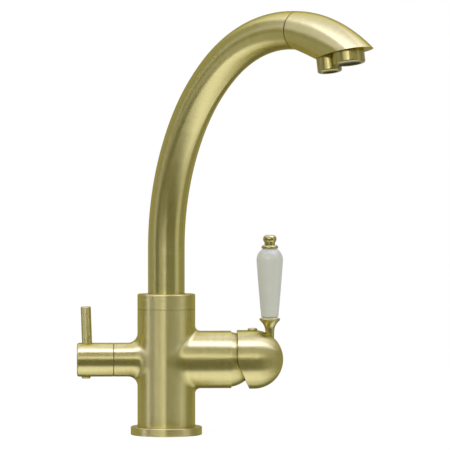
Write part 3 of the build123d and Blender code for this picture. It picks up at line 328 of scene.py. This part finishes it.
def body_brass():
    """The casting's brush lines turn with the column and with the arms, and the blends between
    them are ground so softly that the shine passes from one to the other without an edge."""
    finish = new_finish("brushed_brass_body")
    x, y, z = finish.split(finish.place())
    level = z - ARM_HEIGHT
    mixer_side = x > 0
    arm_radius = mixer_side * MIXER_ARM_RADIUS + (1 - mixer_side) * FILTER_ARM_RADIUS
    reach = mixer_side * MIXER_BLEND + (1 - mixer_side) * FILTER_BLEND
    off_column = (x * x + y * y).root() - COLUMN_RADIUS
    off_arm = (y * y + level * level).root() - arm_radius
    armward = (off_column - off_arm) / reach
    share = armward.rise(-1, 1)
    ground = 1 - abs(armward).rise(BLEND_FADE, 1)
    ground = ground * (off_column > -BLEND_LIMIT) * (off_arm > -BLEND_LIMIT)
    column_way = finish.unit(finish.join(x, y, 0))
    arm_way = finish.unit(finish.join(0, y, level))
    blended = finish.unit(finish.vector_blend(share, column_way, arm_way))
    upright = finish.unit(finish.vector_blend(ground, finish.upright(), blended))
    on_arm = armward > 0
    along = on_arm * x + (1 - on_arm) * z
    turn = on_arm * y.atan2(level) + (1 - on_arm) * x.atan2(0 - y)
    column_across = finish.join(x * END_FACE_LEAN, y * END_FACE_LEAN, 1)
    arm_across = finish.join(1, y * END_FACE_LEAN, level * END_FACE_LEAN)
    across = finish.vector_blend(share, column_across, arm_across)
    # Painted shade: the body darkens from just under the collar's foot upwards, where the seam and
    # the inside of the collar lie in the dark
    seam = SEAM_SHADE * z.band(COLLAR_FOOT - SEAM_DEPTH, BOSS_TOP, SEAM_EDGE)
    return brushed_brass(finish, along, turn, across, seam, upright)


dress(body_brass(), "body_casting")


# ---------------------------------------------------------------------------------------------
# Base flange and seal: a turned brass ring pushed on the column's foot, and the rubber ring in its
# underside that seals it on the worktop.
# ---------------------------------------------------------------------------------------------

COLUMN_AXIS = (0.0, 0.0)
column_brass = turned_brass("brushed_brass_column", "Z", COLUMN_AXIS)
dress(column_brass, "base_flange")


def rubber():
    """Moulded black rubber with a faint bloom."""
    finish = new_finish("seal_rubber")
    bloom = finish.noise(finish.place(), scale=900.0, detail=3.0)
    return finish.surface(
        Base_Color=finish.blend(bloom, (0.012, 0.012, 0.012, 1), (0.035, 0.034, 0.032, 1)),
        Roughness=0.55 + 0.2 * bloom,
        Normal=finish.bumped(bloom, distance=0.00003),
    )


seal_rubber = rubber()
dress(seal_rubber, "base_seal")


# ---------------------------------------------------------------------------------------------
# Spout collar and slip rings: the turned ring that screws on the column's boss, and the two white
# plastic rings that the spout's flange turns between.
# ---------------------------------------------------------------------------------------------

dress(column_brass, "spout_collar")


def moulded_plastic(name, colours, roughness):
    """Injection-moulded plastic with a fine spark-eroded grain."""
    finish = new_finish(name)
    grain = finish.noise(finish.place(), scale=2600.0, detail=2.0)
    return finish.surface(
        Base_Color=finish.blend(grain, *colours),
        Roughness=roughness + 0.1 * grain,
        Normal=finish.bumped(grain, distance=0.00002),
    )


WHITE_PLASTIC = ((0.70, 0.70, 0.67, 1), (0.80, 0.80, 0.77, 1))
slip_plastic = moulded_plastic("slip_ring_plastic", WHITE_PLASTIC, roughness=0.35)
dress(slip_plastic, "slip_ring_lower", "slip_ring_upper")


# ---------------------------------------------------------------------------------------------
# Spout foot: the turned spigot that swivels in the column, with its two O-rings, the ferrule of
# the inner tube with its own, and the stainless inner tube for the filtered water.
# ---------------------------------------------------------------------------------------------


TOOL_PITCH = 0.00015


def bright_metal(name, colours, axis, centre, roughness):
    """Uncoated turned metal: fine tool lines and a slight tarnish."""
    finish = new_finish(name)
    along, turn, _ = turned_lines(finish, axis, centre)
    line_place = finish.join(along / TOOL_PITCH, turn, 0.0)
    lines = finish.noise(line_place, scale=1.0, detail=2.0)
    tarnish = finish.noise(finish.place(), scale=160.0, detail=4.0)
    return finish.surface(
        Base_Color=finish.blend(tarnish, *colours),
        Metallic=1.0,
        Roughness=roughness + 0.12 * tarnish,
        Normal=finish.bumped(lines, distance=0.00001),
    )


RAW_BRASS = ((0.62, 0.44, 0.18, 1), (0.78, 0.60, 0.30, 1))
STEEL = ((0.50, 0.50, 0.49, 1), (0.62, 0.62, 0.61, 1))
ARM_AXIS = (0.0, ARM_HEIGHT)
spigot_brass = bright_metal("turned_brass_spigot", RAW_BRASS, "Z", COLUMN_AXIS, roughness=0.22)
dress(spigot_brass, "spout_spigot", "tube_ferrule", "joint_ring")
dress(seal_rubber, "spout_o_ring_lower", "spout_o_ring_upper", "tube_o_ring")
tube_steel = bright_metal("stainless_tube", STEEL, "Z", COLUMN_AXIS, roughness=0.25)
dress(tube_steel, "filtered_tube")


# ---------------------------------------------------------------------------------------------
# Swan neck: a brass tube bent in one upright plane and brushed round its bend, so its brush lines
# are rings that follow the bend. The lofted nozzle that is brazed to it is brushed the same way.
# ---------------------------------------------------------------------------------------------


def spout_direction():
    """Level unit vector from the column towards the outlets."""
    low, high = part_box("mains_aerator_housing")
    middle = (low + high) / 2
    return Vector((middle.x, middle.y, 0)).normalized()


# Arcs of the swan neck in its own plane: centre out from the column and up, radius, start angle
NECK_ARCS = (
    ((0.19000, 0.14700), 0.1900, 0.0),
    ((0.15882, 0.16500), 0.1540, 30.0),
    ((0.13820, 0.19139), 0.1205, 52.0),
)
JOINT_PLACE = (0.14955, 0.31142)  # of the joint of tube and nozzle, out and up
JOINT_DIP = math.radians(3.5)  # how far down the neck points there
# JOINT_GAP sets the width of a painted line of shade, darkened into the brass at the joint of tube
# and nozzle
JOINT_GAP = 0.00045  # half the width of the dark line at the joint
SPOUT_SPREAD = 0.26  # a finer brush than the body's


def bend_brass():
    """Brass whose brush lines stand square to the swan neck's bend, dark at the joint."""
    finish = new_finish("brushed_brass_spout")
    x, y, z = finish.split(finish.place())
    ahead = spout_direction()
    out = x * ahead.x + y * ahead.y
    side = y * ahead.x - x * ahead.y
    along, turn = z, side.atan2(0 - out)
    ahead_part, up_part = 0 * z, 0 * z + 1
    run = NECK_ARCS[0][0][1]
    for step, ((centre_out, centre_up), radius, start) in enumerate(NECK_ARCS):
        rise, inward = z - centre_up, centre_out - out
        angle = rise.atan2(inward)
        off_axis = (rise * rise + inward * inward).root() - radius
        inside = angle > math.radians(start)
        if step == 0:
            inside = z > centre_up
        here = run + (angle - math.radians(start)) * radius
        along = inside * here + (1 - inside) * along
        turn = inside * side.atan2(off_axis) + (1 - inside) * turn
        ahead_part = inside * rise + (1 - inside) * ahead_part
        up_part = inside * inward + (1 - inside) * up_part
        if step + 1 < len(NECK_ARCS):
            run += math.radians(NECK_ARCS[step + 1][2] - start) * radius
    past = (out - JOINT_PLACE[0]) * math.cos(JOINT_DIP) - (z - JOINT_PLACE[1]) * math.sin(JOINT_DIP)
    # Painted shade: a thin dark line at the joint of tube and nozzle, where the gap lies in shade
    seam = past.band(-JOINT_GAP, JOINT_GAP, JOINT_GAP / 3)
    across = finish.unit(finish.join(ahead_part * ahead.x, ahead_part * ahead.y, up_part))
    return brushed_brass(finish, along, turn, across, seam, spread=SPOUT_SPREAD)


spout_brass = bend_brass()
dress(spout_brass, "spout_tube", "spout_nozzle")


# ---------------------------------------------------------------------------------------------
# Aerators: screwed housings of drawn and coated brass, with a dark plastic insert of round holes
# and a rubber washer above it.
# ---------------------------------------------------------------------------------------------


def polished_brass():
    """Coated brass, polished before coating: only faint wipe marks."""
    finish = new_finish("polished_brass")
    marks = finish.noise(finish.place(), scale=300.0, detail=4.0)
    return finish.surface(
        Base_Color=finish.blend(marks, (0.48, 0.43, 0.11, 1), (0.58, 0.53, 0.17, 1)),
        Metallic=1.0,
        Roughness=0.26 + 0.08 * marks,
        Normal=finish.bumped(marks, distance=0.000004),
        Coat_Weight=0.15,
        Coat_Roughness=0.06,
    )


DRAWN_PITCH, DRAWN_LENGTH = 0.0009, 0.03


def drawn_brass():
    """The aerator housings' brass, drawn through a die: faint upright lines, then coated."""
    finish = new_finish("drawn_brass")
    x, y, z = finish.split(finish.place())
    line_place = finish.join(x / DRAWN_PITCH, y / DRAWN_PITCH, z / DRAWN_LENGTH)
    lines = finish.noise(line_place, scale=1.0, detail=2.0)
    return finish.surface(
        Base_Color=finish.blend(lines, (0.32, 0.28, 0.06, 1), (0.58, 0.51, 0.15, 1)),
        Metallic=1.0,
        Roughness=0.24 + 0.10 * lines,
        Normal=finish.bumped(lines, distance=0.00006),
        Coat_Weight=0.1,
        Coat_Roughness=0.08,
    )


polished = polished_brass()
dress(drawn_brass(), "mains_aerator_housing", "filtered_aerator_housing")
DARK_PLASTIC = ((0.05, 0.05, 0.045, 1), (0.10, 0.10, 0.09, 1))
aerator_plastic = moulded_plastic("aerator_plastic", DARK_PLASTIC, roughness=0.4)
dress(aerator_plastic, "mains_aerator_insert", "filtered_aerator_insert")
dress(seal_rubber, "mains_aerator_washer", "filtered_aerator_washer")


# ---------------------------------------------------------------------------------------------
# Mixing cartridge: acetal base, housing, guide and carrier round two lapped ceramic discs, held by
# a slotted brass nut, with the ball-shaped brass cover that the lever cap swings over.
# ---------------------------------------------------------------------------------------------


def lapped_ceramic():
    """Fired alumina, lapped flat: off-white and matt."""
    finish = new_finish("lapped_ceramic")
    cloud = finish.noise(finish.place(), scale=500.0, detail=3.0)
    return finish.surface(
        Base_Color=finish.blend(cloud, (0.70, 0.66, 0.60, 1), (0.80, 0.77, 0.72, 1)),
        Roughness=0.3 + 0.15 * cloud,
        Normal=finish.bumped(cloud, distance=0.00001),
    )


GREY_PLASTIC = ((0.60, 0.61, 0.61, 1), (0.72, 0.73, 0.73, 1))
acetal = moulded_plastic("acetal", GREY_PLASTIC, roughness=0.35)
dress(acetal, "cartridge_base", "cartridge_housing", "lever_guide", "disc_carrier")
ceramic = lapped_ceramic()
dress(ceramic, "fixed_disc", "moving_disc", "filter_fixed_disc", "filter_moving_disc")
dress(seal_rubber, "port_seal_hot", "port_seal_cold", "port_seal_mixed", "filter_seat_seal")
arm_raw_brass = bright_metal("turned_brass_arm", RAW_BRASS, "X", ARM_AXIS, roughness=0.22)
dress(arm_raw_brass, "cartridge_nut", "lever_spindle")
arm_steel = bright_metal("stainless_pins", STEEL, "X", ARM_AXIS, roughness=0.22)
dress(arm_steel, "pivot_pin")
arm_brass = turned_brass("brushed_brass_arm", "X", ARM_AXIS)
dress(arm_brass, "cartridge_cover")


# ---------------------------------------------------------------------------------------------
# Lever cap: a domed brass cap on the cartridge's spindle, held by a grub screw under a polished
# plug.
# ---------------------------------------------------------------------------------------------

dress(arm_brass, "mixer_cap")
dress(polished, "cap_plug")
dress(arm_steel, "cap_set_screw")


# ---------------------------------------------------------------------------------------------
# Lever: a polished trumpet-shaped neck, a glazed porcelain grip between two thin washers, and a
# polished finial, all drawn together by a threaded steel rod.
# ---------------------------------------------------------------------------------------------


def glazed_porcelain():
    """Greyish white porcelain under a thick clear glaze, with faint clouds and pinholes."""
    finish = new_finish("glazed_porcelain")
    place = finish.place()
    cloud = finish.noise(place, scale=90.0, detail=3.0)
    speck = finish.noise(place, scale=2200.0, detail=1.0)
    return finish.surface(
        Base_Color=finish.blend(cloud, (0.50, 0.515, 0.425, 1), (0.57, 0.58, 0.49, 1)),
        Roughness=0.34 + 0.08 * speck,
        Coat_Weight=0.55,
        Coat_Roughness=0.14,
        Normal=finish.bumped(cloud, distance=0.00003),
    )


dress(polished, "lever_neck", "lever_finial")
dress(glazed_porcelain(), "porcelain_grip")
dress(slip_plastic, "grip_washer_lower", "grip_washer_upper")
dress(arm_steel, "lever_stud")


# ---------------------------------------------------------------------------------------------
# Filter valve and handle: the quarter-turn headwork in the thin arm, its spindle and seals, and
# the brushed knob with its round lever pin and polished button.
# ---------------------------------------------------------------------------------------------

dress(arm_raw_brass, "filter_valve_body", "filter_spindle")
dress(seal_rubber, "filter_o_ring_inner", "filter_o_ring_outer")
dress(arm_brass, "filter_knob")
PIN_SPREAD = 0.8  # a coarser brush than the body's
pin_low, pin_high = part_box("filter_lever_pin")
pin_centre = (pin_low + pin_high) / 2
pin_brass = turned_brass("brushed_brass_pin", "Z", (pin_centre.x, pin_centre.y), PIN_SPREAD)
dress(pin_brass, "filter_lever_pin")
dress(polished, "filter_knob_button")
dress(arm_steel, "filter_knob_screw")


WASHER_INSET = 0.0004
WASHER_HOLE_RADIUS = 0.0115
WASHER_SIDES = 96
BROWN_PLASTIC = ((0.03, 0.027, 0.015, 1), (0.06, 0.052, 0.03, 1))
SHARP_EDGE = math.radians(40)


def knob_washer(washer_plastic):
    """The dark friction washer between the knob and the arm's end."""
    low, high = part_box("filter_knob")
    arm_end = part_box("body_casting")[0].x
    outer = (high.z - low.z) / 2 - WASHER_INSET
    bpy.ops.object.select_all(action="DESELECT")
    bpy.ops.mesh.primitive_cylinder_add(
        vertices=WASHER_SIDES,
        radius=outer,
        depth=arm_end - high.x,
        end_fill_type="NOTHING",
        location=((arm_end + high.x) / 2, 0, ARM_HEIGHT),
        rotation=(0, math.pi / 2, 0),
    )
    washer = bpy.context.active_object
    washer.name = "knob_friction_washer"
    bpy.ops.object.transform_apply(location=True, rotation=True, scale=True)
    wall = washer.modifiers.new("wall", "SOLIDIFY")
    wall.thickness = outer - WASHER_HOLE_RADIUS
    wall.offset = -1.0
    bpy.ops.object.modifier_apply(modifier=wall.name)
    bpy.ops.object.shade_smooth_by_angle(angle=SHARP_EDGE)
    washer.data.materials.append(washer_plastic)
    bpy.ops.object.select_all(action="DESELECT")
    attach(washer, "filter_handle")


knob_washer(moulded_plastic("washer_plastic", BROWN_PLASTIC, roughness=0.5))


# ---------------------------------------------------------------------------------------------
# Studio: a white worktop and backdrop, a painted reflection of softboxes and dark flags for the
# metal, and two soft lamps that light the porcelain and cast the shadow.
# ---------------------------------------------------------------------------------------------


WORKTOP_SIZE = 8.0
WORKTOP_GLOW = 1.06  # of the backdrop's white, so that floor and backdrop run together
WORKTOP_GLOW_SHARE = 0.86  # of what the camera sees; the rest takes light and shadow


def worktop():
    """A level white floor that shows the tap's shadow and stays out of reflections."""
    bpy.ops.mesh.primitive_plane_add(size=WORKTOP_SIZE, location=(0, 0, 0))
    floor = bpy.context.active_object
    floor.name = "worktop"
    finish = new_finish("white_worktop")
    lit = finish.node("ShaderNodeBsdfDiffuse", None, {"Color": (0.9, 0.9, 0.9, 1)})
    glow = {"Color": (1, 1, 1, 1), "Strength": WORKTOP_GLOW}
    white = finish.node("ShaderNodeEmission", None, glow)
    share = finish.ray("Camera") * WORKTOP_GLOW_SHARE
    both = finish.node("ShaderNodeMixShader", None, {"Fac": share, 1: lit, 2: white})
    floor.data.materials.append(finish.ended(both))
    floor.visible_glossy = False


worktop()

# Upright softboxes: (azimuth from, to, elevation from, to, strength), in degrees, 0 at the user
SOFTBOXES = (
    (-50, -22, 9, 21, 1.7),
    (-22, -3, 9, 21, 3.9),
    (6, 50, 9, 40, 0.4),
    (-50, -22, 21, 45, 0.35),
    (-22, -3, 21, 45, 1.0),
    (-87, -76, 8, 50, 2.2),
    (-87, -76, -50, -10, 0.8),
    (56, 84, -40, 40, 0.5),
    (-125, -87, -60, 58, 0.22),
    (84, 125, -60, 58, 0.16),
    (-181, -125, -25, 50, 0.3),
    (125, 181, -25, 50, 0.3),
)
# Level softboxes and sheets: (above 1 or below -1, reach towards the camera from, to, reach to the
# right from, to, strength), the reaches for a height of 1
LEVEL_BOXES = (
    (1, 0.17, 0.58, -1.2, 1.1, 3.4),
    (1, -0.2, 0.17, -1.1, 0.12, 1.0),
    (1, -0.55, 0.17, 0.12, 1.0, 1.5),
    (1, -1.2, -0.2, -1.1, 0.12, 0.9),
    (1, -1.2, -0.55, 0.12, 1.1, 0.65),
    (-1, -0.05, 1.0, -1.1, 1.1, 1.1),
    (-1, -0.6, -0.05, -1.1, 1.1, 0.75),
)
WARM_DARK = (1, 0.98, 0.92, 1)
COOL_BOX = (1, 1.0, 1.5, 1)
COOL_OVERHEAD = (1, 1.0, 2.2, 1)
OVERHEAD_REACH = (-0.55, 0.66)
STUDIO_DARK = 0.2  # level between the softboxes
DARK_LEVEL, LIT_LEVEL = 0.2, 1.1  # levels between which warm turns to cool
DIFFUSE_WORLD = 0.75
HORIZON = 0.02  # least height at which a level softbox shows
EDGE_DEGREES, EDGE_REACH = 2.0, 0.03  # softness of the boxes' edges


def studio_world():
    """White to the camera, plain to diffuse light, softboxes and dark flags to reflections."""
    world = bpy.data.worlds.new("studio")
    bpy.context.scene.world = world
    finish = Finish(world)
    x, y, z = finish.split(finish.node("ShaderNodeTexCoord", None, None, "Generated"))
    azimuth = x.atan2(0 - y) * math.degrees(1)
    elevation = z.asin() * math.degrees(1)
    level = 0 * x + STUDIO_DARK
    for left, right, low, high, strength in SOFTBOXES:
        box = elevation.band(low, high, EDGE_DEGREES) * azimuth.band(left, right, EDGE_DEGREES)
        level = level + strength * box
    height = abs(z)
    forward, right = (0 - y) / height, x / height
    for side, back, front, left_end, right_end, strength in LEVEL_BOXES:
        facing = z * side > HORIZON
        box = forward.band(back, front, EDGE_REACH) * right.band(left_end, right_end, EDGE_REACH)
        level = level + strength * (facing * box)
    camera_ray, glossy_ray = finish.ray("Camera"), finish.ray("Glossy")
    other = (1 - camera_ray) * (1 - glossy_ray)
    strength = camera_ray + glossy_ray * level + other * DIFFUSE_WORLD
    overhead = (z > HORIZON) * forward.band(*OVERHEAD_REACH, EDGE_REACH)
    boxes = finish.blend(overhead, COOL_BOX, COOL_OVERHEAD)
    reflected = finish.blend(level.rise(DARK_LEVEL, LIT_LEVEL), WARM_DARK, boxes)
    colour = finish.blend(glossy_ray, (1, 1, 1, 1), reflected)
    background = finish.node("ShaderNodeBackground", None, {"Color": colour, "Strength": strength})
    finish.node("ShaderNodeOutputWorld", None, {"Surface": background})


studio_world()


def lamp(name, place, target, size, power):
    """A soft rectangular lamp, left out of reflections."""
    data = bpy.data.lights.new(name, "AREA")
    data.shape = "SQUARE"
    data.size = size
    data.energy = power
    light = bpy.data.objects.new(name, data)
    bpy.context.scene.collection.objects.link(light)
    light.location = place
    light.rotation_mode = "QUATERNION"
    light.rotation_quaternion = (Vector(target) - Vector(place)).to_track_quat("-Z", "Y")
    light.visible_glossy = False


LAMP_TARGET = (0, 0, 0.12)
lamp("key_lamp", (-1.2, -1.4, 1.6), LAMP_TARGET, size=1.2, power=14)
lamp("fill_lamp", (1.6, -0.9, 1.2), LAMP_TARGET, size=1.4, power=7)


# ---------------------------------------------------------------------------------------------
# Camera: a long lens a little above the middle of the tap, level enough to keep its sides upright,
# at the distance and with the angle of view that were fitted to the photo.
# ---------------------------------------------------------------------------------------------

CAMERA_PLACE = Vector((-0.041, -2.355, 0.196))
CAMERA_TARGET = Vector((0.04608, 0.0, 0.16446))
PICTURE_WIDTH = 450
FOCAL_PIXELS = 3000
SENSOR_MM = 36.0
NEAREST, FARTHEST = 0.1, 20.0  # limits of what the camera sees


def photo_camera():
    """A camera with the photo's place, direction and angle of view."""
    data = bpy.data.cameras.new("photo_camera")
    data.sensor_fit = "HORIZONTAL"
    data.sensor_width = SENSOR_MM
    data.lens = SENSOR_MM * FOCAL_PIXELS / PICTURE_WIDTH
    data.clip_start, data.clip_end = NEAREST, FARTHEST
    camera = bpy.data.objects.new("photo_camera", data)
    bpy.context.scene.collection.objects.link(camera)
    camera.location = CAMERA_PLACE
    camera.rotation_mode = "QUATERNION"
    camera.rotation_quaternion = (CAMERA_TARGET - CAMERA_PLACE).to_track_quat("-Z", "Y")
    bpy.context.scene.camera = camera


photo_camera()
bpy.context.scene.view_settings.view_transform = "Standard"
